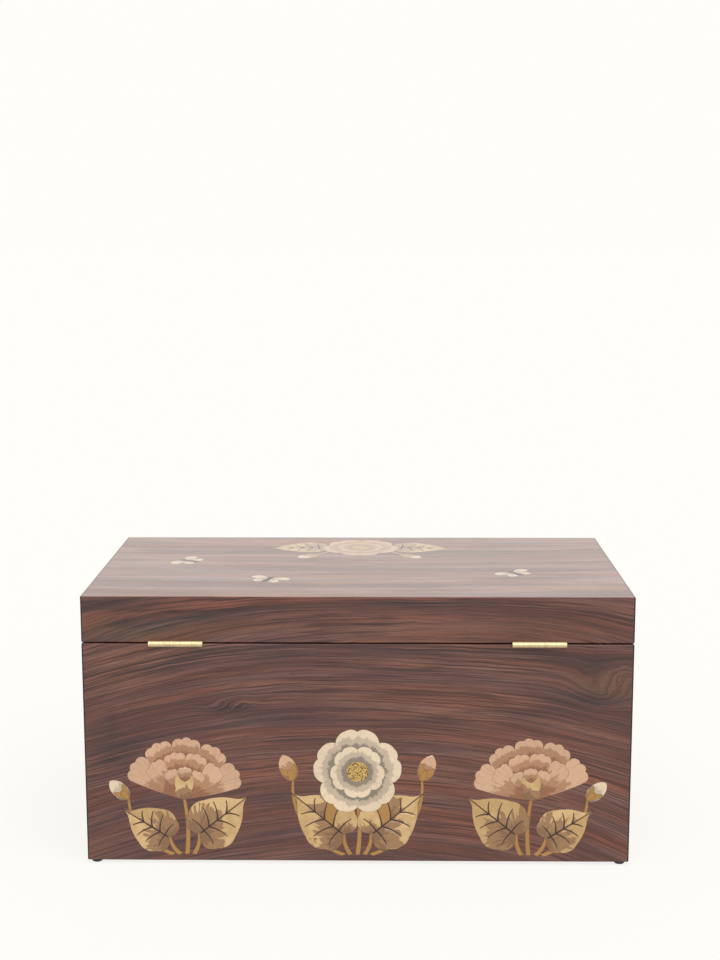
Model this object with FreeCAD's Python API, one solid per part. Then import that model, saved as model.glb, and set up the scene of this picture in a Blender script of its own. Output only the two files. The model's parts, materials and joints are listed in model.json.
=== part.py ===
"""Wooden trunk with a hinged lid, flower inlay, brass butt hinges and two sliding lid stays.

Millimetres. Z is up and the floor is z = 0. The front faces -Y, the hinges are at the back (+Y),
and left and right are as seen from the front.
"""
import FreeCAD, Part
import functools
import math
import os

from FreeCAD import Vector

# Case
trunk_width = 914.0
trunk_depth = 495.0
carcase_height = 378.0
lid_height = 78.0
joint_gap = 2.0
wall = 20.0
lid_top_thickness = 20.0
edge_round = 2.0

# Bottom panel, held in grooves, and the glue blocks under it
bottom_thickness = 12.0
bottom_recess = 16.0
tongue = 8.0
groove_clearance = 0.2
corner_block_leg = 45.0
corner_block_height = 14.0

# Loose splines across the mitred corners
spline_thickness = 4.0
spline_width = 16.0
spline_inset = 13.0
spline_foot_stop = 30.0
spline_rim_stop = 12.0
spline_clearance = 0.1

# Feet
foot_height = 6.0
foot_top_radius = 10.0
foot_bottom_radius = 9.0
foot_inset = 14.0
foot_edge_round = 1.0
foot_socket_radius = 4.2
foot_socket_depth = 2.5
foot_screw_length = 16.0

# Rubber buffers on the rim
buffer_radius = 5.0
buffer_from_side = 60.0
buffer_clearance = 0.3

# Butt hinges
hinge_length = 89.0
hinge_place_share = 0.6565
knuckle_radius = 5.0
knuckle_count = 5
knuckle_gap = 0.3
knuckle_clearance = 0.4
hinge_axis_setback = 5.5
hinge_pin_radius = 2.5
leaf_thickness = 2.2
leaf_reach = 17.0
mortise_clearance = 0.1
hinge_screw_pitch = 30.0

# Lid stays: a slotted arm that pivots on the lid and slides over a stud on the side wall
lid_opening_angle = 96.0
stay_radius = 165.0
stud_angle = 9.0
pivot_angle = 6.0
stay_plate_length = 44.0
stay_plate_width = 18.0
stay_plate_thickness = 2.0
stay_arm_width = 16.0
stay_arm_thickness = 2.5
stay_arm_standoff = 0.8
stay_stud_radius = 3.0
stay_slot_clearance = 0.3
stay_slot_play = 1.0
stay_head_radius = 5.5
stay_head_thickness = 1.5
stay_head_clearance = 0.3
stay_screw_pitch = 28.0

# Countersunk wood screws
screw_head_radius = 3.1
screw_head_depth = 1.6
screw_shank_radius = 1.5
screw_length = 14.0
screw_tip_length = 3.0
screw_tip_radius = 0.3
screw_slot_width = 0.8
screw_slot_depth = 0.5

# Inlay: veneers let flush into the faces
inlay_thickness = 1.5
glue_line = 0.12
vein_root_width = 2.4
vein_tip_width = 0.9
smallest_piece_side = 5.0

running_clearance = 0.05

# Heights and depths that follow from the sizes above
carcase_bottom = foot_height
carcase_top = carcase_bottom + carcase_height
lid_bottom = carcase_top + joint_gap
lid_top = lid_bottom + lid_height
half_width = trunk_width / 2
hinge_projection = hinge_axis_setback + knuckle_radius
back_y = (trunk_depth - hinge_projection) / 2
front_y = back_y - trunk_depth
case_centre_y = (front_y + back_y) / 2
inner_half_width = half_width - wall
hinge_from_centre = half_width * hinge_place_share
bottom_panel_low = carcase_bottom + bottom_recess
hinge_axis_y = back_y + hinge_axis_setback
hinge_axis_z = carcase_top + joint_gap / 2

UP = Vector(0, 0, 1)
DOWN = Vector(0, 0, -1)

# Outlines run round a piece as (along, across, swell): shares of its length and width, and the
# height of the arc to the next point as a share of the chord, outwards when positive.
rose_petal_share = [(0.0, -0.10, 0.10), (0.55, -0.48, 0.22), (0.95, -0.26, 0.16), (0.93, 0.0, 0.16),
                    (0.95, 0.26, 0.22), (0.55, 0.48, 0.10), (0.0, 0.10, 0.0)]
fan_petal_share = [(0.0, -0.12, 0.02), (0.84, -0.50, 0.30), (0.95, -0.17, 0.28), (0.95, 0.17, 0.30),
                   (0.84, 0.50, 0.02), (0.0, 0.12, 0.0)]
calyx_share = [(-0.10, -0.10, 0.30), (0.30, -0.50, 0.12), (1.0, -0.42, -0.16), (0.62, 0.0, -0.16),
               (1.0, 0.42, 0.12), (0.30, 0.50, 0.30), (-0.10, 0.10, 0.30)]
bud_share = [(0.0, -0.16, 0.16), (0.42, -0.50, 0.16), (1.0, 0.0, 0.16), (0.42, 0.50, 0.16),
             (0.0, 0.16, 0.0)]
sepal_share = [(0.0, -0.30, 0.08), (0.45, -0.50, 0.12), (1.0, 0.0, 0.12), (0.45, 0.50, 0.08),
               (0.0, 0.30, 0.0)]
half_leaf_share = [(0.07, 0.0, 0.36), (0.10, -0.42, 0.18), (0.42, -0.46, 0.07), (0.80, -0.12, -0.10),
                   (1.0, 0.0, 0.0)]
upper_wing_share = [(0.0, -0.06, 0.06), (0.80, -0.46, 0.20), (1.0, -0.10, 0.10), (0.86, 0.36, 0.14),
                    (0.30, 0.34, 0.10), (0.0, 0.06, 0.0)]
lower_wing_share = [(0.0, -0.08, 0.12), (0.62, -0.46, 0.24), (1.0, -0.06, 0.24), (0.66, 0.42, 0.12),
                    (0.0, 0.08, 0.0)]

# Each side vein leaves the midrib at the first share and ends at (along, across)
side_vein_share = [(0.12, 0.10, 0.31), (0.22, 0.34, 0.36), (0.38, 0.52, 0.32), (0.55, 0.68, 0.19)]
leaf_width_share = 0.80
vein_swell_share = 0.07

# The plants, from front to back: motif, place, lean in degrees and size, as shares of the plant's
# unit. A stem runs from its first point to its second with a swell to its right.
rose_plant_share = [
    ("rose", 0.0, 0.665, 90.0, 0.33),
    ("bud", 0.475, 0.60, 68.0, 0.21),
    ("bud", -0.475, 0.60, 112.0, 0.21),
    ("leaf", 0.09, 0.165, 40.0, 0.53),
    ("leaf", -0.09, 0.165, 140.0, 0.53),
    ("stem", (0.0, 0.02), (0.0, 0.40), 0.04),
    ("stem", (0.05, 0.02), (0.10, 0.19), 0.10),
    ("stem", (-0.05, 0.02), (-0.10, 0.19), -0.10),
    ("stem", (0.10, 0.02), (0.475, 0.61), 0.18),
    ("stem", (-0.10, 0.02), (-0.475, 0.61), -0.18)]
fan_plant_share = [
    ("fan", 0.0, 0.47, 94.0, 0.46),
    ("bud", 0.41, 0.455, 44.0, 0.19),
    ("leaf", -0.10, 0.165, 141.0, 0.50),
    ("leaf", 0.10, 0.14, 33.0, 0.43),
    ("stem", (-0.02, 0.02), (0.0, 0.48), -0.04),
    ("stem", (-0.07, 0.02), (-0.11, 0.19), -0.10),
    ("stem", (0.03, 0.02), (0.11, 0.16), 0.10),
    ("stem", (0.08, 0.02), (0.41, 0.465), 0.16)]
lid_spray_share = [
    ("rose", 0.0, 0.0, 90.0, 0.33),
    ("leaf", 0.30, -0.02, 8.0, 0.50),
    ("leaf", -0.30, -0.02, 172.0, 0.50),
    ("bud", 0.36, 0.30, 40.0, 0.21),
    ("bud", -0.36, 0.30, 140.0, 0.21),
    ("stem", (0.12, 0.10), (0.37, 0.31), 0.10),
    ("stem", (-0.12, 0.10), (-0.37, 0.31), -0.10)]
butterfly_share = [("butterfly", 0.0, 0.0, 90.0, 0.17)]

# Sizes of the parts of a motif, as shares of the motif's own size
rose_seed_share = 0.24
rose_rows_share = [(0.62, 36.0), (1.0, 0.0)]
rose_petal_count = 5
rose_petal_width_share = 0.98
fan_rows_share = [(3, 0.50), (4, 0.76), (5, 1.0)]
fan_pitch_angle = 31.0
fan_petal_width_share = 0.455
calyx_size_share = (0.40, 0.26)
bud_width_share = 0.58
sepals_share = [(0.0, 0.42, 0.22), (24.0, 0.62, 0.20), (-24.0, 0.62, 0.20)]
wings_share = [("upper", 26.0, 1.0, 0.62), ("lower", -34.0, 0.72, 0.52)]
butterfly_body_share = (-0.50, 0.62, 0.13)
stem_root_width_share = 0.034
stem_tip_width_share = 0.022

# Where the plants stand on each face, as shares of the face, and the unit that they are drawn to
plant_pitch_share = 0.32
plant_unit_per_pitch_share = 0.775
plant_unit_per_height_share = 0.607
plant_foot_share = 0.018
side_plant_unit_share = 0.458
lid_spray_places_share = [(0.0, -0.305, 0.0)]
lid_unit_per_width_share = 0.24
lid_unit_per_depth_share = 0.44
butterfly_places_share = [(-0.30, 0.14, 35.0), (0.17, 0.24, -20.0), (0.34, -0.06, 62.0)]


def block(low, high):
    """A box between two corners"""
    size = high - low
    return Part.makeBox(size.x, size.y, size.z, low)


def prism(points, height):
    """A solid on a closed outline of points, raised by a vector"""
    return Part.Face(Part.makePolygon(points + points[:1])).extrude(height)


def turned(profile, base, along):
    """A solid of revolution. The profile is (radius, distance) pairs along the axis."""
    points = [Vector(radius, 0, distance) for radius, distance in profile]
    face = Part.Face(Part.makePolygon(points + points[:1]))
    solid = face.revolve(Vector(0, 0, 0), UP, 360)
    solid.Placement = FreeCAD.Placement(base, FreeCAD.Rotation(UP, along))
    return solid


def carve(solid, cutters):
    """Cut from a solid only what comes near it"""
    near = [cutter for cutter in cutters if cutter.BoundBox.intersect(solid.BoundBox)]
    return solid.cut(near) if near else solid


def eased_case(low_z, high_z):
    """The outside of the carcase or the lid, with every edge eased"""
    case = block(Vector(-half_width, front_y, low_z), Vector(half_width, back_y, high_z))
    return case.makeFillet(edge_round, case.Edges)


def mitred_walls(low_z, high_z):
    """Four boards of one height that meet at 45 degrees in the corners"""
    outer = {"left": -half_width, "right": half_width, "front": front_y, "back": back_y}
    inner = {"left": -half_width + wall, "right": half_width - wall,
             "front": front_y + wall, "back": back_y - wall}
    corners = {"front": ("left", "right", "front"), "back": ("left", "right", "back"),
               "left": ("front", "back", "left"), "right": ("front", "back", "right")}
    rise = UP * (high_z - low_z)
    envelope = eased_case(low_z, high_z)
    boards = {}
    for name, (start, end, face) in corners.items():
        places = [(outer[start], outer[face]), (outer[end], outer[face]),
                  (inner[end], inner[face]), (inner[start], inner[face])]
        if name in ("left", "right"):
            places = [(across, along) for along, across in places]
        outline = [Vector(x, y, low_z) for x, y in places]
        boards[name] = prism(outline, rise).common(envelope)
    return boards


def lid_top_board():
    """The top of the lid, mitred all round to the rails"""
    low_z = lid_top - lid_top_thickness
    across_x = [Vector(-half_width, front_y, lid_top), Vector(half_width, front_y, lid_top),
                Vector(inner_half_width, front_y, low_z), Vector(-inner_half_width, front_y, low_z)]
    across_y = [Vector(-half_width, front_y, lid_top), Vector(-half_width, back_y, lid_top),
                Vector(-half_width, back_y - wall, low_z), Vector(-half_width, front_y + wall, low_z)]
    return prism(across_x, Vector(0, trunk_depth, 0)).common(prism(across_y, Vector(trunk_width, 0, 0)))


def bottom_board(extra=0.0):
    """The bottom panel with its tongues, or the groove for it when it is grown by a clearance"""
    reach = tongue + extra
    top_z = bottom_panel_low + bottom_thickness + extra
    low = Vector(-inner_half_width - reach, front_y + wall - reach, bottom_panel_low)
    high = Vector(inner_half_width + reach, back_y - wall + reach, top_z)
    return block(low, high)


def corners():
    """The four outer corners of the case, and the signs of the way in from each"""
    return [(sign_x * half_width, y, -sign_x, sign_y)
            for sign_x in (-1, 1) for y, sign_y in ((front_y, 1), (back_y, -1))]


def corner_blocks():
    """Triangular glue blocks under the bottom panel"""
    blocks = []
    for x, y, in_x, in_y in corners():
        inside = Vector(x + in_x * wall, y + in_y * wall, bottom_panel_low)
        outline = [inside, inside + Vector(in_x * corner_block_leg, 0, 0),
                   inside + Vector(0, in_y * corner_block_leg, 0)]
        blocks.append(prism(outline, DOWN * corner_block_height))
    return blocks


def corner_splines(low_z, high_z, grown=0.0):
    """Flat splines that cross the mitre of each corner, stopped short of both ends"""
    splines = []
    half_thickness = spline_thickness / 2 + grown
    half_length = spline_width / 2 + grown
    for x, y, in_x, in_y in corners():
        centre = Vector(x + in_x * spline_inset, y + in_y * spline_inset, low_z - grown)
        along = Vector(in_x, -in_y, 0).normalize() * half_length
        across = Vector(in_x, in_y, 0).normalize() * half_thickness
        outline = [centre - along - across, centre + along - across,
                   centre + along + across, centre - along + across]
        splines.append(prism(outline, UP * (high_z - low_z + 2 * grown)))
    return splines


def wood_screw(head_at, into, length=screw_length, grown=0.0):
    """A countersunk screw with a slotted head, or the hole for it when it is grown"""
    shank = screw_shank_radius + grown
    profile = [(0, 0), (screw_head_radius + grown, 0), (shank, screw_head_depth),
               (shank, length - screw_tip_length), (screw_tip_radius + grown, length + grown),
               (0, length + grown)]
    screw = turned(profile, head_at, into)
    if grown:
        return screw
    slot = block(Vector(-screw_head_radius, -screw_slot_width / 2, 0),
                 Vector(screw_head_radius, screw_slot_width / 2, screw_slot_depth))
    slot.Placement = FreeCAD.Placement(head_at, FreeCAD.Rotation(UP, into))
    return screw.cut(slot)


def foot(x, y):
    """A tapered plastic glide with a socket for its screw"""
    profile = [(screw_shank_radius + running_clearance, foot_socket_depth),
               (foot_socket_radius, foot_socket_depth), (foot_socket_radius, 0),
               (foot_bottom_radius - foot_edge_round, 0), (foot_bottom_radius, foot_edge_round),
               (foot_top_radius, foot_height), (screw_shank_radius + running_clearance, foot_height)]
    return turned(profile, Vector(x, y, 0), UP)


def foot_screw(x, y, grown=0.0):
    """A pan-headed screw that holds a glide up in the corner"""
    shank = screw_shank_radius + grown
    seat = foot_socket_depth
    tip = seat + foot_screw_length
    profile = [(0, seat - screw_head_depth), (screw_head_radius, seat - screw_head_depth),
               (screw_head_radius, seat), (shank, seat), (shank, tip - screw_tip_length),
               (screw_tip_radius + grown, tip + grown), (0, tip + grown)]
    return turned(profile, Vector(x, y, 0), UP)


def foot_places():
    """Where the glides stand, by name"""
    places = {}
    for x, y, in_x, in_y in corners():
        name = "foot_" + ("front" if in_y > 0 else "back") + ("_left" if in_x > 0 else "_right")
        places[name] = (x + in_x * foot_inset, y + in_y * foot_inset)
    return places


def rim_buffers():
    """Small rubber buffers that the closed lid rests over"""
    buffers = []
    height = joint_gap - buffer_clearance
    for x, y, in_x, in_y in corners():
        centre = Vector(x + in_x * buffer_from_side, y + in_y * wall / 2, carcase_top)
        profile = [(0, 0), (buffer_radius, 0), (buffer_radius, height / 2),
                   (buffer_radius - height / 2, height), (0, height)]
        buffers.append(turned(profile, centre, UP))
    return buffers


def knuckle_spans(first):
    """Start and end of every second knuckle along the barrel, from the first one on"""
    pitch = (hinge_length + knuckle_gap) / knuckle_count
    starts = [-hinge_length / 2 + index * pitch for index in range(first, knuckle_count, 2)]
    return [(start, start + pitch - knuckle_gap) for start in starts]


def barrel(radius, start, end):
    """A round bar along the hinge axis"""
    return Part.makeCylinder(radius, end - start, Vector(start, 0, 0), Vector(1, 0, 0))


def leaf_plate(side, extra=0.0):
    """The flat of a hinge leaf, below (-1) or above (+1) the axis, or its mortise when grown"""
    near = side * joint_gap / 2
    far = near + side * leaf_thickness
    half_length = hinge_length / 2 + extra
    reach = hinge_axis_setback + leaf_reach + extra
    return block(Vector(-half_length, -reach, min(near, far)), Vector(half_length, 0, max(near, far)))


def hinge_leaf(side, first):
    """A leaf with its knuckles, bored for the pin and cleared round the other leaf's knuckles"""
    own = [barrel(knuckle_radius, start, end) for start, end in knuckle_spans(first)]
    others = [barrel(knuckle_radius + knuckle_clearance, start - knuckle_gap, end + knuckle_gap)
              for start, end in knuckle_spans(1 - first)]
    bore = barrel(hinge_pin_radius + running_clearance, -hinge_length, hinge_length)
    holes = [wood_screw(place, Vector(0, 0, side), grown=running_clearance) for place in leaf_screws(side)]
    return leaf_plate(side).fuse(own).cut(others + [bore] + holes)


def leaf_screws(side):
    """Where the screw heads of a leaf lie, from the axis"""
    y = -hinge_axis_setback - leaf_reach / 2
    return [Vector(step * hinge_screw_pitch, y, side * joint_gap / 2) for step in (-1, 0, 1)]


def leaf_mortise(side):
    """What a leaf's recess takes from the rim, open towards the back and towards the joint"""
    plate = leaf_plate(side, mortise_clearance)
    box = plate.BoundBox
    near = side * joint_gap / 2
    far = near + side * leaf_thickness
    low = Vector(box.XMin, box.YMin, min(far, near - side * joint_gap))
    high = Vector(box.XMax, box.YMax, max(far, near - side * joint_gap))
    return block(low, high)


def at_hinge(solid, x):
    """Move a solid from the hinge's own axis to its place on the trunk"""
    return solid.translated(Vector(x, hinge_axis_y, hinge_axis_z))


def hinges(nodes, cuts):
    """Both butt hinges, their screws and the recesses for them"""
    body_screws, lid_screws = [], []
    for name, x in (("left", -hinge_from_centre), ("right", hinge_from_centre)):
        nodes[f"hinge_{name}_body_leaf"] = at_hinge(hinge_leaf(-1, 0), x)
        nodes[f"hinge_{name}_lid_leaf"] = at_hinge(hinge_leaf(1, 1), x)
        pin = barrel(hinge_pin_radius, -hinge_length / 2, hinge_length / 2)
        nodes[f"hinge_{name}_pin"] = at_hinge(pin, x)
        for side, screws, cutters in ((-1, body_screws, cuts["carcase"]), (1, lid_screws, cuts["lid"])):
            cutters.append(at_hinge(leaf_mortise(side), x))
            for place in leaf_screws(side):
                into = Vector(0, 0, side)
                screws.append(at_hinge(wood_screw(place, into), x))
                cutters.append(at_hinge(wood_screw(place, into, grown=running_clearance), x))
    nodes["hinge_body_screws"] = Part.makeCompound(body_screws)
    nodes["hinge_lid_screws"] = Part.makeCompound(lid_screws)


def from_hinge_axis(radius, degrees):
    """A place in the YZ plane at a radius from the hinge axis, raised above the way to the front"""
    angle = math.radians(degrees)
    return Vector(0, hinge_axis_y - radius * math.cos(angle), hinge_axis_z + radius * math.sin(angle))


def stadium(length, width, thickness):
    """A flat bar with round ends along Y, centred, with its thickness along X"""
    half = (length - width) / 2
    radius = width / 2
    right = [Vector(0, half, -radius), Vector(0, half + radius, 0), Vector(0, half, radius)]
    left = [Vector(0, -half, radius), Vector(0, -half - radius, 0), Vector(0, -half, -radius)]
    edges = [Part.Arc(*right).toShape(), Part.LineSegment(right[2], left[0]).toShape(),
             Part.Arc(*left).toShape(), Part.LineSegment(left[2], right[0]).toShape()]
    return Part.Face(Part.Wire(edges)).extrude(Vector(thickness, 0, 0))


def stay_rivet(centre, into, thickness):
    """A headed stud from the back of its plate through the arm"""
    length = stay_plate_thickness + stay_arm_standoff + stay_arm_thickness + stay_head_clearance
    head_round = stay_head_thickness / 2
    profile = [(0, 0), (thickness, 0), (thickness, length), (stay_head_radius, length),
               (stay_head_radius, length + head_round),
               (stay_head_radius - head_round, length + stay_head_thickness),
               (0, length + stay_head_thickness)]
    return turned(profile, centre, into)


def stay_plate(centre, side):
    """A round-ended plate screwed to the inner face of a side"""
    plate = stadium(stay_plate_length, stay_plate_width, -side * stay_plate_thickness).translated(centre)
    inwards = Vector(-side, 0, 0)
    hole_radius = stay_stud_radius + running_clearance
    hole = Part.makeCylinder(hole_radius, stay_plate_thickness, centre, inwards)
    screws, holes = [], []
    for step in (-1, 1):
        head_at = centre + inwards * stay_plate_thickness + Vector(0, step * stay_screw_pitch / 2, 0)
        screws.append(wood_screw(head_at, -inwards))
        holes.append(wood_screw(head_at, -inwards, grown=running_clearance))
    return plate.cut([hole] + holes), screws, holes


def stay_arm(pivot, stud, side):
    """The slotted arm, from its pivot on the lid past the stud on the side wall"""
    closed = (stud - pivot).Length
    opened = 2 * stay_radius * math.sin(math.radians(lid_opening_angle + stud_angle + pivot_angle) / 2)
    slot_start = closed - stay_slot_play
    slot_end = opened + stay_slot_play
    slot_width = 2 * (stay_stud_radius + stay_slot_clearance)
    bar = stadium(slot_end + stay_arm_width, stay_arm_width, -side * stay_arm_thickness)
    bar = bar.translated(Vector(0, slot_end / 2, 0))
    slot = stadium(slot_end - slot_start + slot_width, slot_width, -side * stay_arm_thickness)
    slot = slot.translated(Vector(0, (slot_start + slot_end) / 2, 0))
    hole_radius = stay_stud_radius + running_clearance
    hole = Part.makeCylinder(hole_radius, stay_arm_thickness, Vector(0, 0, 0), Vector(-side, 0, 0))
    arm = bar.cut([slot, hole])
    standoff = Vector(-side * (stay_plate_thickness + stay_arm_standoff), 0, 0)
    turn = FreeCAD.Rotation(Vector(0, 1, 0), stud - pivot)
    arm.Placement = FreeCAD.Placement(pivot + standoff, turn).multiply(arm.Placement)
    return arm


def lid_stays(nodes, cuts):
    """Both lid stays with their plates, studs and screws"""
    body_screws, lid_screws = [], []
    for name, side in (("left", -1), ("right", 1)):
        wall_face = Vector(side * inner_half_width, 0, 0)
        stud = from_hinge_axis(stay_radius, -stud_angle) + wall_face
        pivot = from_hinge_axis(stay_radius, pivot_angle) + wall_face
        inwards = Vector(-side, 0, 0)
        nodes[f"stay_{name}_stud_plate"], screws, holes = stay_plate(stud, side)
        body_screws += screws
        cuts["carcase"] += holes
        nodes[f"stay_{name}_bracket"], screws, holes = stay_plate(pivot, side)
        lid_screws += screws
        cuts["lid"] += holes
        nodes[f"stay_{name}_stud"] = stay_rivet(stud, inwards, stay_stud_radius)
        nodes[f"stay_{name}_pivot_pin"] = stay_rivet(pivot, inwards, stay_stud_radius)
        nodes[f"stay_{name}_arm"] = stay_arm(pivot, stud, side)
    nodes["stay_body_screws"] = Part.makeCompound(body_screws)
    nodes["stay_lid_screws"] = Part.makeCompound(lid_screws)


def polar(length, degrees):
    """A flat vector of a length and an angle"""
    angle = math.radians(degrees)
    return Vector(length * math.cos(angle), length * math.sin(angle), 0)


def outline(shares, length, width, lean=0.0):
    """A flat piece from an outline of shares, with its root at zero and its tip leaning"""
    along, across = polar(length, lean), polar(width, lean + 90)
    points = [along * a + across * b for a, b, swell in shares]
    edges = []
    for index, (a, b, swell) in enumerate(shares):
        edges.append(arc_or_line(points[index], points[(index + 1) % len(points)], swell))
    return Part.Face(Part.Wire(edges))


def arc_or_line(start, end, swell):
    """The edge between two points, bowed to the right of its way by a share of its length"""
    chord = end - start
    if not swell:
        return Part.LineSegment(start, end).toShape()
    middle = (start + end) / 2 + Vector(chord.y, -chord.x, 0) * swell
    return Part.Arc(start, middle, end).toShape()


def band(start, end, root_width, tip_width, swell):
    """A stem or vein: a bowed strip that narrows from its root to its tip"""
    chord = end - start
    side = Vector(-chord.y, chord.x, 0).normalize()
    root, tip = side * (root_width / 2), side * (tip_width / 2)
    edges = [arc_or_line(start - root, end - tip, swell), arc_or_line(end - tip, end + tip, 0),
             arc_or_line(end + tip, start + root, -swell), arc_or_line(start + root, start - root, 0)]
    return Part.Face(Part.Wire(edges))


def disc(radius):
    """A flat round piece"""
    return Part.Face(Part.Wire(Part.makeCircle(radius)))


def glued(face):
    """A piece's outline with the glue line round it"""
    return face.makeOffset2D(glue_line, 0, False, False, False)


def joined(faces):
    """One flat shape from several that overlap"""
    return faces[0].multiFuse(faces[1:]).removeSplitter() if len(faces) > 1 else faces[0]


def fitted(outlines):
    """Fit pieces together, front first: each loses what those before it cover, with a glue line"""
    pieces, covered, slivers = [], [], []
    for wood, face in outlines:
        for part in carve(face, covered).Faces:
            if part.Area > smallest_piece_side ** 2:
                pieces.append((wood, part))
            else:
                slivers.append(part)
        covered.append(glued(face))
    return pieces, carve(joined(covered), slivers)


@functools.lru_cache(maxsize=None)
def rose(size):
    """An open blossom seen from above: a seed head and two rows of notched petals"""
    outlines = [("foliage", disc(size * rose_seed_share))]
    for share, turn in rose_rows_share:
        length = size * share
        width = length * rose_petal_width_share
        for index in range(rose_petal_count):
            angle = turn + index * 360 / rose_petal_count
            outlines.append(("bloom", outline(rose_petal_share, length, width, angle)))
    return fitted(outlines)


@functools.lru_cache(maxsize=None)
def fan(size):
    """A blossom seen from the side: a calyx and three rows of scalloped petals"""
    calyx_length, calyx_width = (size * share for share in calyx_size_share)
    outlines = [("foliage", outline(calyx_share, calyx_length, calyx_width))]
    for count, share in fan_rows_share:
        length = size * share
        width = length * fan_petal_width_share
        angles = [(index - (count - 1) / 2) * fan_pitch_angle for index in range(count)]
        for angle in sorted(angles, key=abs):
            outlines.append(("bloom", outline(fan_petal_share, length, width, angle)))
    return fitted(outlines)


@functools.lru_cache(maxsize=None)
def bud(size):
    """A closed bud held by three sepals"""
    outlines = [("foliage", outline(sepal_share, size * length, size * width, lean))
                for lean, length, width in sepals_share]
    outlines.append(("bud", outline(bud_share, size, size * bud_width_share)))
    return fitted(outlines)


@functools.lru_cache(maxsize=None)
def leaf(size):
    """A heart-shaped leaf in two halves with dark veins"""
    width = size * leaf_width_share
    root_share, tip_share = half_leaf_share[0][0], half_leaf_share[-1][0]
    rib_end = Vector(size * tip_share - vein_root_width, 0, 0)
    veins = [band(Vector(size * root_share, 0, 0), rib_end, vein_root_width, vein_tip_width, 0)]
    for start, along, across in side_vein_share:
        for side in (-1, 1):
            end = Vector(size * along, side * width * across, 0)
            veins.append(band(Vector(size * start, 0, 0), end, vein_root_width, vein_tip_width,
                              side * vein_swell_share))
    tree = joined(veins)
    half = outline(half_leaf_share, size, width)
    other_half = half.mirror(Vector(0, 0, 0), Vector(0, 1, 0))
    return fitted([("dark", tree.Faces[0]), ("foliage", half), ("foliage", other_half)])


@functools.lru_cache(maxsize=None)
def butterfly(size):
    """Four wings and a dark body"""
    low, high, width = (size * share for share in butterfly_body_share)
    body = outline(bud_share, high - low, width).translated(Vector(low, 0, 0))
    outlines = [("dark", body)]
    wing_shares = {"upper": upper_wing_share, "lower": lower_wing_share}
    for kind, lean, length, width in wings_share:
        wing = outline(wing_shares[kind], size * length, size * width, lean + 90)
        outlines += [("bud", wing), ("bud", wing.mirror(Vector(0, 0, 0), Vector(0, 1, 0)))]
    return fitted(outlines)


def stem(start, end, swell, unit):
    """A stem between two places given as shares of the unit"""
    root, tip = Vector(*start, 0) * unit, Vector(*end, 0) * unit
    face = band(root, tip, unit * stem_root_width_share, unit * stem_tip_width_share, swell)
    return [("foliage", face)], glued(face)


MOTIFS = {"rose": rose, "fan": fan, "bud": bud, "leaf": leaf, "butterfly": butterfly}


def moved(pieces, footprint, place, lean):
    """A motif turned and moved to its place"""
    turn = FreeCAD.Placement(place, FreeCAD.Rotation(UP, lean))
    result = [(wood, face.copy()) for wood, face in pieces]
    outer = footprint.copy()
    for shape in [face for wood, face in result] + [outer]:
        shape.Placement = turn.multiply(shape.Placement)
    return result, outer


def flipped(pieces, footprint):
    """The mirror image of a plant about its upright line"""
    centre, normal = Vector(0, 0, 0), Vector(1, 0, 0)
    return [(wood, face.mirror(centre, normal)) for wood, face in pieces], footprint.mirror(centre, normal)


def plant(table, unit):
    """Place a table of motifs, front first, each cut by those in front of it"""
    pieces, covered, slivers = [], [], []
    for kind, *values in table:
        if kind == "stem":
            own, footprint = stem(*values, unit)
        else:
            along, up, lean, size = values
            own, footprint = moved(*MOTIFS[kind](unit * size), Vector(unit * along, unit * up, 0), lean)
        for wood, face in own:
            for part in carve(face, covered).Faces:
                if part.Area > smallest_piece_side ** 2:
                    pieces.append((wood, part))
                else:
                    slivers.append(part)
        covered.append(footprint)
    return pieces, carve(joined(covered), slivers)


def face_placements():
    """Where the flat drawing of each inlaid face lies: right and up as seen from outside"""
    foot_z = carcase_bottom
    back = FreeCAD.Rotation(Vector(-1, 0, 0), Vector(0, 0, 1), Vector(0, 1, 0), "XYZ")
    front = FreeCAD.Rotation(Vector(1, 0, 0), Vector(0, 0, 1), Vector(0, -1, 0), "XYZ")
    left = FreeCAD.Rotation(Vector(0, -1, 0), Vector(0, 0, 1), Vector(-1, 0, 0), "XYZ")
    right = FreeCAD.Rotation(Vector(0, 1, 0), Vector(0, 0, 1), Vector(1, 0, 0), "XYZ")
    return {"back": FreeCAD.Placement(Vector(0, back_y, foot_z), back),
            "front": FreeCAD.Placement(Vector(0, front_y, foot_z), front),
            "left": FreeCAD.Placement(Vector(-half_width, case_centre_y, foot_z), left),
            "right": FreeCAD.Placement(Vector(half_width, case_centre_y, foot_z), right),
            "lid": FreeCAD.Placement(Vector(0, case_centre_y, lid_top), FreeCAD.Rotation())}


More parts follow.
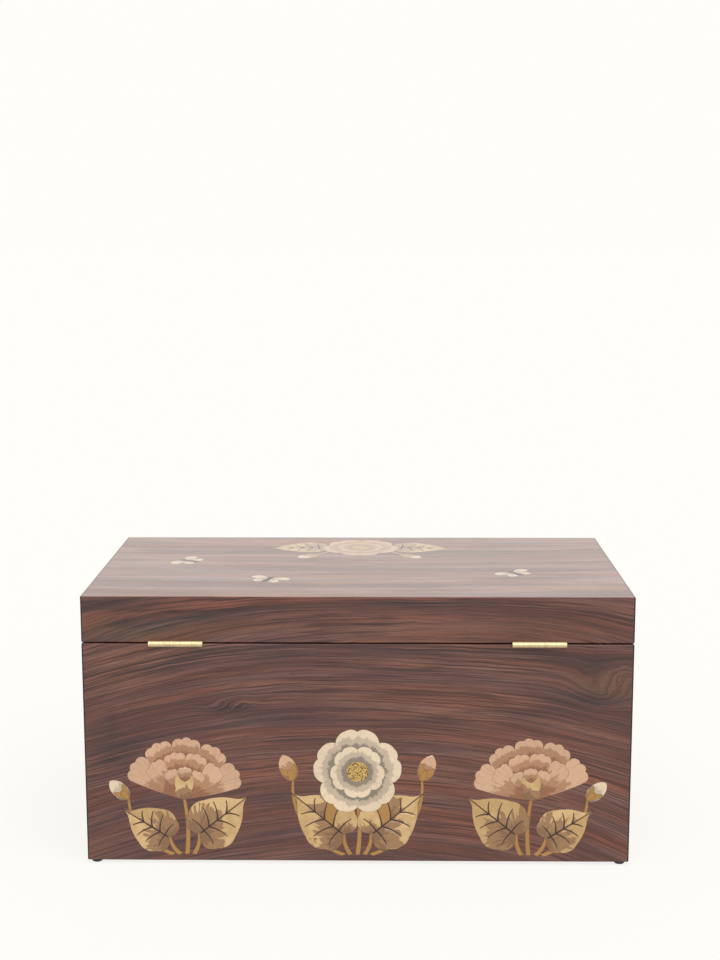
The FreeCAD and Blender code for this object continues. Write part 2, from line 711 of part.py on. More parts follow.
def inlay_drawings():
    """The plants of every face, each with its place, its lean and the woods of bloom and bud"""
    pitch = trunk_width * plant_pitch_share
    unit = min(pitch * plant_unit_per_pitch_share, carcase_height * plant_unit_per_height_share)
    foot_up = carcase_height * plant_foot_share
    rose_plant = plant(rose_plant_share, unit)
    fan_plant = plant(fan_plant_share, unit)
    side_unit = min(unit, trunk_depth * side_plant_unit_share)
    side_plant = rose_plant if side_unit == unit else plant(rose_plant_share, side_unit)
    lid_unit = min(trunk_width * lid_unit_per_width_share, trunk_depth * lid_unit_per_depth_share)
    spray = plant(lid_spray_share, lid_unit)
    flying = plant(butterfly_share, lid_unit)
    drawings = {}
    for face, bloom, bud_wood in (("back", "cream", "pink"), ("front", "pink", "cream")):
        drawings[face] = [(rose_plant, Vector(0, foot_up, 0), 0, bloom, bud_wood)]
        for side, own_plant in ((-1, flipped(*fan_plant)), (1, fan_plant)):
            drawings[face].append((own_plant, Vector(side * pitch, foot_up, 0), 0, bud_wood, bloom))
    for face in ("left", "right"):
        drawings[face] = [(side_plant, Vector(0, foot_up, 0), 0, "pink", "cream")]
    drawings["lid"] = []
    for drawing, places in ((spray, lid_spray_places_share), (flying, butterfly_places_share)):
        for across, up, lean in places:
            place = Vector(trunk_width * across, trunk_depth * up, 0)
            drawings["lid"].append((drawing, place, lean, "pink", "cream"))
    return drawings


def inlays(nodes):
    """The inlaid pieces by face and wood, and the pockets that they lie in"""
    placements = face_placements()
    depth = Vector(0, 0, -inlay_thickness)
    pockets = {}
    for face, drawings in inlay_drawings().items():
        woods = {"cream": [], "pink": [], "foliage": [], "dark": []}
        pockets[face] = []
        for (pieces, footprint), place, lean, bloom, bud_wood in drawings:
            names = {"bloom": bloom, "bud": bud_wood, "foliage": "foliage", "dark": "dark"}
            own, outer = moved(pieces, footprint, place, lean)
            for wood, piece in own:
                woods[names[wood]].append(piece.extrude(depth))
            pockets[face] += [region.extrude(depth) for region in outer.Faces]
        for solid in pockets[face] + [piece for pieces in woods.values() for piece in pieces]:
            solid.Placement = placements[face].multiply(solid.Placement)
        for wood, solids in woods.items():
            nodes[f"{face}_inlay_{wood}"] = Part.makeCompound(solids)
    return pockets


def build():
    """Every node of the trunk by name"""
    nodes = {}
    cuts = {"carcase": [], "lid": []}
    hinges(nodes, cuts)
    lid_stays(nodes, cuts)
    pockets = inlays(nodes)

    for name, (x, y) in foot_places().items():
        nodes[name] = foot(x, y)
    nodes["foot_screws"] = Part.makeCompound([foot_screw(x, y) for x, y in foot_places().values()])
    cuts["carcase"] += [foot_screw(x, y, running_clearance) for x, y in foot_places().values()]
    nodes["rim_buffers"] = Part.makeCompound(rim_buffers())
    nodes["corner_blocks"] = Part.makeCompound(corner_blocks())

    carcase_span = (carcase_bottom + spline_foot_stop, carcase_top - spline_rim_stop)
    lid_span = (lid_bottom + spline_rim_stop, lid_top - lid_top_thickness - spline_rim_stop)
    nodes["carcase_corner_splines"] = Part.makeCompound(corner_splines(*carcase_span))
    nodes["lid_corner_splines"] = Part.makeCompound(corner_splines(*lid_span))
    cuts["carcase"] += corner_splines(*carcase_span, spline_clearance) + [bottom_board(groove_clearance)]
    cuts["lid"] += corner_splines(*lid_span, spline_clearance)

    nodes["bottom_panel"] = bottom_board()
    for name, board in mitred_walls(carcase_bottom, carcase_top).items():
        nodes[f"{name}_panel"] = carve(board, cuts["carcase"] + pockets[name])
    top_board = lid_top_board()
    for name, board in mitred_walls(lid_bottom, lid_top).items():
        nodes[f"lid_{name}_rail"] = carve(board.cut(top_board), cuts["lid"])
    nodes["lid_top_panel"] = carve(top_board.common(eased_case(lid_bottom, lid_top)), pockets["lid"])
    return nodes


os.makedirs("parts", exist_ok=True)
for node, shape in build().items():
    shape.exportStep(f"parts/{node}.step")
    print(node, len(shape.Solids), "solids", round(shape.Volume), "mm3")
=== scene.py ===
"""Finishes for the wooden trunk, its flower inlay and hardware, and the pale stage it stands on.

Metres. Z is up and the floor is z = 0. The front faces -Y, the hinges are at the back (+Y).
"""
import json
import math
import random
from collections import namedtuple

import bmesh
import bpy
from bpy.props import FloatProperty, FloatVectorProperty, PointerProperty
from bpy.types import Operator, Panel, PropertyGroup
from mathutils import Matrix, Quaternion, Vector
from mathutils.kdtree import KDTree


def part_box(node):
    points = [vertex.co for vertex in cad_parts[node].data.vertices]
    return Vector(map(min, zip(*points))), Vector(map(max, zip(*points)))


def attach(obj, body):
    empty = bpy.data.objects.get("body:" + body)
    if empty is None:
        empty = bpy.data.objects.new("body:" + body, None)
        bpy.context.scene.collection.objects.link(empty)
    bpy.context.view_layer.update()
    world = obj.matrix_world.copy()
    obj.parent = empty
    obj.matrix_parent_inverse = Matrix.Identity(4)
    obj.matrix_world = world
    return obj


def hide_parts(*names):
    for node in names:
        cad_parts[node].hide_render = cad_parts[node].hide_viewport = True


bl_info = {
    "name": "Wooden trunk",
    "version": (1, 0, 0),
    "blender": (4, 5, 0),
    "location": "3D View > Sidebar > Trunk",
    "description": "Wood, inlay and metal finishes for a hinged trunk, with a stage to see it on",
    "category": "Object",
}

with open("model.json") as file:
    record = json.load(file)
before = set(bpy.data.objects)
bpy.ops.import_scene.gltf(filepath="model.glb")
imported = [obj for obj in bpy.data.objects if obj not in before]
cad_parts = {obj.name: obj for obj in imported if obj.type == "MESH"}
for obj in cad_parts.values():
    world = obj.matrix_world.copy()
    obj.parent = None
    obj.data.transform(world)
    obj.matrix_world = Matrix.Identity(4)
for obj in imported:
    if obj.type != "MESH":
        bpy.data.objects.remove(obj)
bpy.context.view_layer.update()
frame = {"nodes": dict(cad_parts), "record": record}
SLOTS = {part["node"]: part["material_slot"] for part in frame["record"]["subparts"]}
BODIES = {node: body for body, nodes in frame["record"]["behaviour"]["bodies"].items()
          for node in nodes}
E = math.e


# Shader maths

class Shade:
    """A socket in a material's nodes. Arithmetic on it adds Math nodes."""

    def __init__(self, tree, socket=None):
        self.tree = tree
        self.socket = socket

    def node(self, kind, settings, inputs, output=0):
        """Add a node: its settings, what goes into its sockets, and the output to go on with"""
        made = self.tree.nodes.new(kind)
        for name, value in settings.items():
            setattr(made, name, value)
        for key, value in inputs.items():
            if isinstance(value, Shade):
                self.tree.links.new(value.socket, made.inputs[key])
            else:
                made.inputs[key].default_value = value
        if isinstance(output, tuple):
            return [Shade(self.tree, made.outputs[key]) for key in output]
        return Shade(self.tree, made.outputs[output])

    def maths(self, operation, *values):
        """A Math node on one, two or three values"""
        return self.node("ShaderNodeMath", {"operation": operation}, dict(enumerate(values)))

    def __add__(self, other):
        return self.maths("ADD", self, other)

    def __sub__(self, other):
        return self.maths("SUBTRACT", self, other)

    def __rsub__(self, other):
        return self.maths("SUBTRACT", other, self)

    def __mul__(self, other):
        return self.maths("MULTIPLY", self, other)

    def __truediv__(self, other):
        return self.maths("DIVIDE", self, other)

    def __rpow__(self, other):
        return self.maths("POWER", other, self)

    def __abs__(self):
        return self.maths("ABSOLUTE", self)

    __radd__ = __add__
    __rmul__ = __mul__

    def over(self, limit):
        """One where this is greater than a limit, and zero elsewhere"""
        return self.maths("GREATER_THAN", self, limit)

    def least(self, other):
        """The smaller of this and another value"""
        return self.maths("MINIMUM", self, other)

    def rise(self, low, high):
        """Zero below low, one above high, and smooth between them"""
        settings = {"interpolation_type": "SMOOTHSTEP"}
        inputs = {"Value": self, "From Min": low, "From Max": high}
        return self.node("ShaderNodeMapRange", settings, inputs)

    def mix(self, colour, other):
        """The first colour where this is zero and the other where it is one"""
        return mixed(self, colour, other)

    def dim(self, colour):
        """A colour at this share of its brightness"""
        return self.mix((0, 0, 0), colour)

    def times(self, colour):
        """This colour times another one"""
        settings = {"data_type": "RGBA", "blend_type": "MULTIPLY"}
        return self.node("ShaderNodeMix", settings, {0: 1.0, 6: self, 7: colour}, 2)


def paint(colour):
    """A colour as a socket takes it"""
    return colour if isinstance(colour, Shade) else (*colour, 1.0)


def mixed(share, colour, other):
    """A Mix node on two colours, of which one or the share comes from a node"""
    start = next(value for value in (share, colour, other) if isinstance(value, Shade))
    inputs = {0: share, 6: paint(colour), 7: paint(other)}
    return start.node("ShaderNodeMix", {"data_type": "RGBA"}, inputs, 2)


def noise(place, stretch, detail=2.0, roughness=0.5):
    """Noise about zero over a place of three parts, each drawn out by its own stretch"""
    start = place[0]
    parts = [part * factor for part, factor in zip(place, stretch)]
    vector = start.node("ShaderNodeCombineXYZ", {}, dict(enumerate(parts)))
    inputs = {"Vector": vector, "Scale": 1.0, "Detail": detail, "Roughness": roughness}
    return start.node("ShaderNodeTexNoise", {}, inputs) * 2.0 - 1.0


def object_place(start):
    """X, Y and Z in the trunk's own frame"""
    place = start.node("ShaderNodeTexCoord", {}, {}, "Object")
    return start.node("ShaderNodeSeparateXYZ", {}, {0: place}, (0, 1, 2))


def new_finish(name, **constants):
    """A material, the start of its nodes, and its shader with what is the same all over set"""
    material = bpy.data.materials.new(name)
    material.use_nodes = True
    tree = material.node_tree
    shader = next(node for node in tree.nodes if node.type == "BSDF_PRINCIPLED")
    for key, value in constants.items():
        shader.inputs[key.replace("_", " ").title().replace("Ior", "IOR")].default_value = value
    return material, Shade(tree), shader


def connect(shader, **varying):
    """Link what changes over the surface to the shader"""
    for key, value in varying.items():
        value.tree.links.new(value.socket, shader.inputs[key.replace("_", " ").title()])


def bump(height, distance):
    """The normal of a surface raised by a height from zero to one, times a distance in metres"""
    return height.node("ShaderNodeBump", {}, {"Height": height, "Distance": distance})


# The satin lacquer on the wood and the inlay, apart from how strongly it reflects
LACQUER = {"specular_ior_level": 0.05, "coat_roughness": 0.24}


# Rosewood. A board's axes give the way along, across and through its fibres, and shift is where in
# the tree it lay. Its grain arches: crown is where along the board it stands highest, at the lower
# and at the upper edge, and bow is how far it falls from there, on the low and on the high side,
# also at each edge. Seams are where strips are glued edge to edge, and fade is how far
# the face is paled by a painted sheen, which stands for the grazing reflection on the lacquer. A
# knot bulges the grain and may swirl it, a tint is a cloud of colour, and a band is a dark streak
# along one line of the grain.
Board = namedtuple("Board", "axes shift crown bow seams knots tints bands fade",
                   defaults=((), (), (), (), 0.0))
Knot = namedtuple("Knot", "along across reach_along reach_across bulge swirl")
Tint = namedtuple("Tint", "colour along across reach_along reach_across strength")
Band = namedtuple("Band", "level reach strength")
BOARDS = {
    "back_panel": Board(
        axes="xzy", shift=0.0, crown=(-0.02, 0.06), bow=((0.072, 0.010), (0.050, 0.054)),
        knots=[Knot(-0.425, 0.316, 0.046, 0.034, 0.30, 1.0),
               Knot(0.215, 0.278, 0.034, 0.014, 0.6, 0.4)],
        tints=[Tint("amber", -0.02, 0.160, 0.240, 0.055, 0.40),
               Tint("amber", -0.30, 0.120, 0.120, 0.050, 0.30),
               Tint("olive", -0.410, 0.318, 0.066, 0.036, 0.80),
               Tint("smudge", -0.375, 0.288, 0.070, 0.016, 0.90),
               Tint("smudge", -0.395, 0.345, 0.030, 0.010, 0.6),
               Tint("smudge", 0.395, 0.205, 0.070, 0.032, 0.75),
               Tint("smudge", 0.405, 0.182, 0.028, 0.010, 0.8),
               Tint("smudge", 0.205, 0.275, 0.050, 0.010, 0.95),
               Tint("smudge", 0.175, 0.262, 0.110, 0.022, 0.45),
               Tint("smudge", -0.120, 0.250, 0.050, 0.009, 0.70),
               Tint("smudge", -0.270, 0.268, 0.070, 0.012, 0.6),
               Tint("smudge", 0.410, 0.245, 0.010, 0.028, 0.60),
               Tint("smudge", 0.050, 0.215, 0.080, 0.008, 0.5)],
        bands=[Band(0.381, 0.012, 0.70), Band(0.298, 0.003, 0.35)]),
    "front_panel": Board(
        axes="xzy", shift=3.1, crown=(-0.12, -0.06), bow=((0.050, 0.040), (0.080, 0.030)),
        knots=[Knot(0.31, 0.24, 0.055, 0.035, 0.35, 1.6)],
        tints=[Tint("olive", 0.30, 0.24, 0.080, 0.040, 0.8),
               Tint("smudge", 0.25, 0.222, 0.070, 0.014, 0.85),
               Tint("smudge", -0.22, 0.30, 0.080, 0.012, 0.6),
               Tint("smudge", -0.36, 0.20, 0.070, 0.025, 0.6),
               Tint("amber", -0.05, 0.14, 0.240, 0.050, 0.4)],
        bands=[Band(0.30, 0.010, 0.6)]),
    "left_panel": Board(
        axes="yzx", shift=5.7, crown=(0.05, 0.05), bow=((0.040, 0.030), (0.045, 0.045)),
        tints=[Tint("smudge", 0.10, 0.27, 0.060, 0.014, 0.8),
               Tint("smudge", -0.12, 0.22, 0.050, 0.02, 0.5),
               Tint("amber", 0.0, 0.15, 0.160, 0.045, 0.4)],
        bands=[Band(0.33, 0.012, 0.6)]),
    "right_panel": Board(
        axes="yzx", shift=8.3, crown=(-0.06, -0.06), bow=((0.045, 0.030), (0.030, 0.030)),
        knots=[Knot(-0.13, 0.30, 0.040, 0.030, 0.3, 1.5)],
        tints=[Tint("olive", -0.13, 0.30, 0.060, 0.034, 0.7),
               Tint("smudge", -0.10, 0.27, 0.060, 0.012, 0.7),
               Tint("amber", 0.08, 0.17, 0.120, 0.045, 0.4)],
        bands=[Band(0.20, 0.010, 0.6)]),
    "lid_back_rail": Board(
        axes="xzy", shift=11.9, crown=(-0.17, -0.17), bow=((0.075, 0.030), (0.026, 0.008)),
        knots=[Knot(-0.165, 0.432, 0.08, 0.016, 0.5, 0.0)],
        tints=[Tint("olive", 0.36, 0.410, 0.150, 0.020, 0.90),
               Tint("smudge", 0.36, 0.418, 0.060, 0.009, 0.85),
               Tint("smudge", 0.27, 0.425, 0.050, 0.007, 0.75),
               Tint("smudge", 0.40, 0.452, 0.080, 0.009, 0.65),
               Tint("smudge", -0.09, 0.452, 0.090, 0.006, 0.7),
               Tint("smudge", 0.30, 0.443, 0.16, 0.003, 0.7),
               Tint("amber", -0.16, 0.404, 0.150, 0.016, 0.75),
               Tint("smudge", 0.09, 0.425, 0.07, 0.008, 0.5),
               Tint("smudge", -0.36, 0.43, 0.08, 0.007, 0.5)],
        bands=[Band(0.453, 0.005, 0.5)]),
    "lid_front_rail": Board(
        axes="xzy", shift=14.2, crown=(0.10, 0.10), bow=((0.040, 0.040), (0.040, 0.040)),
        tints=[Tint("smudge", -0.3, 0.42, 0.060, 0.010, 0.7),
               Tint("olive", 0.25, 0.41, 0.160, 0.018, 0.7)],
        bands=[Band(0.44, 0.005, 0.5)]),
    "lid_left_rail": Board(
        axes="yzx", shift=17.5, crown=(0.0, 0.0), bow=((0.020, 0.020), (0.020, 0.020)),
        tints=[Tint("smudge", 0.08, 0.42, 0.060, 0.008, 0.6)],
        bands=[Band(0.43, 0.006, 0.5)]),
    "lid_right_rail": Board(
        axes="yzx", shift=20.4, crown=(0.0, 0.0), bow=((0.020, 0.020), (0.020, 0.020)),
        tints=[Tint("amber", -0.05, 0.41, 0.100, 0.012, 0.6)],
        bands=[Band(0.41, 0.006, 0.5)]),
    "lid_top_panel": Board(
        axes="xyz", shift=23.6, crown=(0.05, 0.05), bow=((0.008, 0.008), (0.012, 0.012)),
        seams=(-0.09, 0.08),
        tints=[Tint("smudge", 0.25, 0.02, 0.120, 0.02, 0.6),
               Tint("smudge", -0.2, -0.12, 0.120, 0.02, 0.6)],
        bands=[Band(0.16, 0.012, 0.6)],
        # A painted sheen on the lid top, for the grazing reflection on its lacquer
        fade=0.75),
}

# The grain has fallen by its bow where the square of the distance from the crown is this
BOW_SQUARE = 0.145
# How far the grain climbs with the depth below the face
DEPTH_SLOPE = 0.8
# How the grain in a knot wavers and frays: how finely, and how much
KNOT_WAVER = ((46.0, 46.0, 46.0), 0.4)
KNOT_FRAY = ((200.0, 80.0, 60.0), 0.003)
# How far apart in the tree two strips lay, along the first seam, more at each next one, and through
SEAM_ALONG, SEAM_STEP, SEAM_THROUGH = 0.83, 0.21, 0.41
# How much of a board's shift goes through the fibres
SHIFT_THROUGH = 0.37
# Slow waves in the grain: how finely drawn along, across and through, the detail and the height
WAVES = (((1.9, 5.0, 5.0), 2.0, 0.0070), ((7.0, 20.0, 20.0), 2.0, 0.0028),
         ((24.0, 64.0, 64.0), 1.0, 0.0011))
# Figures in the grain: how finely drawn along, across and through, then the noise's detail, and
# its roughness where that isn't the usual one
FIGURES = {
    "bands": ((0.8, 40.0, 8.0), 1.0),
    "streaks": ((2.6, 120.0, 16.0), 1.0),
    "lines": ((5.0, 400.0, 40.0), 1.0),
    "threads": ((12.0, 740.0, 90.0), 1.0),
    "fibres": ((22.0, 1500.0, 300.0), 2.0, 0.6),
    "patches": ((3.2, 11.0, 11.0), 1.0),
    "clouds": ((7.0, 26.0, 11.0), 2.0),
    "hues": ((2.0, 46.0, 12.0), 3.0, 0.6),
}
# How finely the pores are drawn
PORES = (95.0, 1100.0, 700.0)
# From where to where the painted sheen ends below the face, the dark line of painted shade on a
# mitred corner ends beside the end and below the face, and the lacquer is whole again beside a
# worn edge
SHEEN_DEPTH = (0.0030, 0.0060)
CORNER_SHADE_WIDTH = (0.0014, 0.0026)
CORNER_SHADE_DEPTH = (0.0020, 0.0030)
WORN_EDGE = (0.0004, 0.0016)


def between(share, pair):
    """The first of a pair where the share is zero and the second where it is one"""
    low, high = pair
    return share * (high - low) + low


def spot(along, across, mark):
    """One in the middle of a knot or a tint, fading out over its reach each way"""
    x = (along - mark.along) / mark.reach_along
    y = (across - mark.across) / mark.reach_across
    return E ** (0.0 - (x * x + y * y))


def grain_level(board, place, low, high, parts):
    """Which line of the grain a point lies on, after the arch of the board and its knots"""
    along, across, through = place
    share = (across - low[1]) / (high[1] - low[1])
    offset = along - between(share, board.crown)
    low_fall, high_fall = (between(share, pair) for pair in board.bow)
    fall = offset.over(0.0) * (high_fall - low_fall) + low_fall
    level = across + fall * (offset * offset) / BOW_SQUARE
    for knot in board.knots:
        mark = spot(along, across, knot)
        x, y = along - knot.along, across - knot.across
        level = level - y * mark * knot.bulge
        if knot.swirl:
            stretch, much = KNOT_WAVER
            turn = mark * (knot.swirl + noise(parts, stretch, 1.0) * much)
            level = level + x * turn.maths("SINE", turn) + y * (turn.maths("COSINE", turn) - 1.0)
            stretch, much = KNOT_FRAY
            level = level + noise((along, across, through), stretch, 1.0) * (mark * much)
    return level


def rosewood(node, board, look):
    """Dark figured rosewood under a satin lacquer, with the grain of one board"""
    material, start, shader = new_finish(f"rosewood_{node}", **LACQUER)
    parts = object_place(start)
    letters = ["xyz".index(letter) for letter in board.axes]
    low, high = ([corner[letter] for letter in letters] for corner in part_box(node))
    along, across, through = (parts[letter] for letter in letters)
    rim = (high[0] - low[0]) / 2 - abs(along - (low[0] + high[0]) / 2)
    edge = rim.least((across - low[1]).least(high[1] - across))
    depth = abs(through - (high[2] if low[2] + high[2] > 0 else low[2]))

    level = grain_level(board, (along, across, through), low, high, parts) + depth * DEPTH_SLOPE
    for index, seam in enumerate(board.seams):
        above = across.over(seam)
        along = along + above * (SEAM_ALONG + index * SEAM_STEP)
        through = through + above * SEAM_THROUGH
    along = along + board.shift
    through = through + board.shift * SHIFT_THROUGH
    place = (along, across, through)
    for stretch, detail, height in WAVES:
        level = level + noise(place, stretch, detail) * height
    flow = (along, level, through)
    bands, streaks, lines, threads, fibres, patches, clouds, hues = (
        noise(flow, *figure) for figure in FIGURES.values())
    outside = 1.0 - depth.rise(*SHEEN_DEPTH)

    colour = (bands * 0.4 + patches * 0.6 + clouds * 0.7 + streaks * 0.4).rise(-0.90, 0.60).mix(
        look.umber, look.red_brown)
    light = (streaks * 0.4 + patches * 0.7 + clouds * 0.7).rise(0.15, 0.70)
    colour = (light * 0.7).mix(colour, look.amber)
    dark = (0.0 - streaks - bands * 0.3).rise(0.10, 0.60)
    colour = (dark * 0.18).mix(colour, look.umber)
    wavering = across + streaks * 0.012 + clouds * 0.010
    mottled = 0.85 + lines * 0.5 + clouds * 0.5
    for tint in board.tints:
        mark = spot(along - board.shift, wavering, tint)
        colour = (mark * mottled * tint.strength).mix(colour, getattr(look, tint.colour))
    lined = 0.85 + lines * 0.5
    for band in board.bands:
        distance = (level - band.level) / band.reach
        mark = E ** (0.0 - distance * distance)
        colour = (mark * lined * band.strength).mix(colour, look.smudge)
    # Painted sheen: the face is paled towards streaks that stand for the lacquer's grazing
    # reflection
    if board.fade:
        sheen_streaks = (bands * 0.8 + patches * 0.6 + clouds * 0.5 + streaks * 0.4).rise(-0.55, 0.55).mix(
            look.sheen_dark, look.sheen_light)
        colour = (outside * board.fade).mix(colour, sheen_streaks)

    clear = (patches * 0.6 + clouds * 0.7 + bands * 0.4).rise(-0.45, 0.55) * 0.70 + 0.20
    # The painted sheen also washes out the fine grain lines
    clear = clear * (1.0 - outside * board.fade)
    colour = ((0.0 - lines).rise(0.05, 0.32) * (clear * 0.66)).mix(colour, look.grain_light)
    colour = (lines.rise(0.08, 0.26) * (clear * 0.68 + 0.14)).mix(colour, look.grain_line_and_shade)
    colour = (threads.rise(0.03, 0.25) * (clear * 0.46 + 0.24)).mix(colour, look.grain_line_and_shade)
    colour = colour.times(hues.rise(-0.5, 0.5).mix(look.cool, look.warm))
    pores = noise(place, PORES, 0.0).rise(0.36, 0.60)
    colour = (fibres * 0.20 + 1.0 - pores * 0.34).dim(colour)
    # Painted shade: a dark line along the rounded corner at each mitred end, near the face
    corner_shade = (1.0 - rim.rise(*CORNER_SHADE_WIDTH)) * (1.0 - depth.rise(*CORNER_SHADE_DEPTH)) * 0.90
    connect(shader, base_color=corner_shade.mix(colour, look.grain_line_and_shade),
            roughness=0.46 + bands * 0.05 + fibres * 0.06,
            coat_weight=(edge.rise(*WORN_EDGE) * 0.85 + 0.15) * look.wood_shine,
            normal=bump(fibres * 0.25 - pores, 0.00010))
    return material


def plain_wood(name, colours, axes, scale):
    """Bare pale wood: colours are its ground and its grain"""
    material, start, shader = new_finish(name, specular_ior_level=0.35)
    parts = object_place(start)
    place = [parts["xyz".index(letter)] for letter in axes]
    level = place[1] + noise(place, (3.0, 9.0, 9.0)) * 0.020
    flow = (place[0], level, place[2])
    figure = noise(flow, (1.5, 60.0 * scale, 20.0))
    fibres = noise(flow, (24.0, 1400.0, 400.0), 2.0, 0.6)
    colour = (fibres * 0.14 + 0.95).dim(figure.rise(-0.4, 0.5).mix(*colours))
    connect(shader, base_color=colour, roughness=0.62 + fibres * 0.08,
            normal=bump(fibres, 0.00008))
    return material


# Inlay: the plants stand as shares of a unit, from each plant's foot, with (sort, across, up, size)
# for each flower and leaf. It gathers the pieces that are nearest to its root, for its size.
ROSE_PLANT = [("flower", 0.0, 0.665, 0.33), ("flower", 0.475, 0.60, 0.21),
              ("flower", -0.475, 0.60, 0.21), ("leaf", 0.09, 0.165, 0.53),
              ("leaf", -0.09, 0.165, 0.53)]
FAN_PLANT = [("flower", 0.0, 0.47, 0.46), ("flower", 0.41, 0.455, 0.19),
             ("leaf", -0.10, 0.165, 0.50), ("leaf", 0.10, 0.14, 0.43)]
LID_SPRAY = [("flower", 0.0, 0.0, 0.33), ("leaf", 0.30, -0.02, 0.50), ("leaf", -0.30, -0.02, 0.50),
             ("flower", 0.36, 0.30, 0.21), ("flower", -0.36, 0.30, 0.21)]
BUTTERFLY = [("flower", 0.0, 0.0, 0.17)]
PLANT_UNIT = 0.2267
LID_UNIT = 0.2178
FOOT = 0.0128
PITCH = 0.2925
PlantAt = namedtuple("PlantAt", "table across up unit mirrored")
PANEL_PLANTS = [PlantAt(ROSE_PLANT, 0.0, FOOT, PLANT_UNIT, 1),
                PlantAt(FAN_PLANT, PITCH, FOOT, PLANT_UNIT, 1),
                PlantAt(FAN_PLANT, -PITCH, FOOT, PLANT_UNIT, -1)]
SIDE_PLANTS = PANEL_PLANTS[:1]
LID_PLANTS = [PlantAt(LID_SPRAY, 0.0, -0.1510, LID_UNIT, 1),
              PlantAt(BUTTERFLY, -0.2742, 0.0693, LID_UNIT, 1),
              PlantAt(BUTTERFLY, 0.1554, 0.1188, LID_UNIT, 1),
              PlantAt(BUTTERFLY, 0.3108, -0.0297, LID_UNIT, 1)]
# Right, up and outward as seen from outside, and the plants of each inlaid face
Face = namedtuple("Face", "right up outward plants")
FACES = {
    "back": Face(Vector((-1, 0, 0)), Vector((0, 0, 1)), Vector((0, 1, 0)), PANEL_PLANTS),
    "front": Face(Vector((1, 0, 0)), Vector((0, 0, 1)), Vector((0, -1, 0)), PANEL_PLANTS),
    "left": Face(Vector((0, -1, 0)), Vector((0, 0, 1)), Vector((-1, 0, 0)), SIDE_PLANTS),
    "right": Face(Vector((0, 1, 0)), Vector((0, 0, 1)), Vector((1, 0, 0)), SIDE_PLANTS),
    "lid": Face(Vector((1, 0, 0)), Vector((0, 1, 0)), Vector((0, 0, 1)), LID_PLANTS),
}
# How near two points are one, how flat two faces are one, and how straight a face looks outwards
MERGE = 0.00001
FLAT = math.radians(0.5)
OUTWARDS = 0.9
# The size of the cells that a veneer is cut into, and the pitch of the points along an outline
CELL = 0.005
SAMPLE = 0.0008
# What is written on the vertices of a veneer, and how far the marks of rim and vein reach
MARKS = ("rim", "vein", "tone", "root", "slender", "heart")
RIM_REACH = 0.010
VEIN_REACH = 0.012
# What tells golden pieces apart, in square metres: stems are small or, by the square of their
# girth over their area, narrow. Leaves are large, and seed heads lie in the middle of a flower.
SMALL_PIECE = 0.00052
NARROW_PIECE = 75
LARGEST_STEM = 0.0006
SMALLEST_LEAF = 0.00048
HEART_SHARE = 0.12
# Where a veneer grows from, the way along it and across it, and one where it is a stem or a heart
Growth = namedtuple("Growth", "root way side slender heart")


def merged(node):
    """A CAD node's mesh with its triangles joined into whole faces"""
    mesh = bmesh.new()
    mesh.from_mesh(frame["nodes"][node].data)
    bmesh.ops.remove_doubles(mesh, verts=mesh.verts, dist=MERGE)
    bmesh.ops.dissolve_limit(mesh, angle_limit=FLAT, verts=mesh.verts, edges=mesh.edges)
    return mesh


def loose_parts(mesh):
    """The vertices of each separate solid, in the mesh's own order, so that each run is the same"""
    mesh.verts.index_update()
    seen, found = set(), []
    for first in mesh.verts:
        if first.index in seen:
            continue
        seen.add(first.index)
        queue, part = [first], []
        while queue:
            vertex = queue.pop()
            part.append(vertex)
            for edge in vertex.link_edges:
                other = edge.other_vert(vertex)
                if other.index not in seen:
                    seen.add(other.index)
                    queue.append(other)
        found.append(part)
    return found


def top_face(part, outward):
    """The largest face of a solid that looks outwards"""
    faces = [face for vertex in part for face in vertex.link_faces
             if face.normal.dot(outward) > OUTWARDS]
    return max(faces, key=lambda face: face.calc_area())


def outline_tree(mesh, outward):
    """A search tree of points along the outlines of every piece in a mesh"""
    points = []
    for part in loose_parts(mesh):
        for edge in top_face(part, outward).edges:
            start, end = (vertex.co for vertex in edge.verts)
            steps = max(1, round((end - start).length / SAMPLE))
            points += [start.lerp(end, step / steps) for step in range(steps)]
    tree = KDTree(len(points))
    for index, point in enumerate(points):
        tree.insert(point, index)
    tree.balance()
    return tree


def roots_of(name, kind):
    """Where the flowers or the leaves of a face grow from, and their sizes"""
    face = FACES[name]
    low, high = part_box("lid_top_panel" if name == "lid" else f"{name}_panel")
    foot = (low + high) / 2 + face.outward * abs((high - low).dot(face.outward)) / 2
    if name != "lid":
        foot.z = 0.0
    roots = []
    for plant in face.plants:
        for sort, across, height, size in plant.table:
            if sort == kind:
                place = face.right * (plant.across + across * plant.unit * plant.mirrored)
                place += face.up * (plant.up + height * plant.unit)
                roots.append((foot + place, size * plant.unit))
    return roots


def nearest_root(roots, place):
    """The root that is nearest to a place, for its size"""
    return min(roots, key=lambda item: (item[0] - place).length / item[1])


def longest_way(face):
    """The two corners of a face that lie farthest apart"""
    points = [vertex.co.copy() for vertex in face.verts]
    start = max(points, key=lambda point: (point - points[0]).length)
    end = max(points, key=lambda point: (point - start).length)
    return (start, end) if start.z <= end.z else (end, start)


def growth_of(top, golden, outward, flowers, leaves):
    """How a veneer grows, from its upper face"""
    centre, area = top.calc_center_median_weighted(), top.calc_area()
    narrow = area < SMALL_PIECE or top.calc_perimeter() ** 2 / area > NARROW_PIECE
    slender = golden and narrow and area < LARGEST_STEM
    root, size = nearest_root(flowers, centre)
    heart = golden and not slender and (root - centre).length < size * HEART_SHARE
    if golden and area > SMALLEST_LEAF and not heart:
        root = nearest_root(leaves, centre)[0]
    way = centre - root
    if slender:
        root, tip = longest_way(top)
        way = tip - root
    way = (way - outward * way.dot(outward)).normalized()
    return Growth(root, way, outward.cross(way), float(slender), float(heart))


def from_root(vertex, growth):
    """How far a vertex lies from its piece's root, along the piece and across it"""
    reach = vertex.co - growth.root
    return reach.dot(growth.way), reach.dot(growth.side)


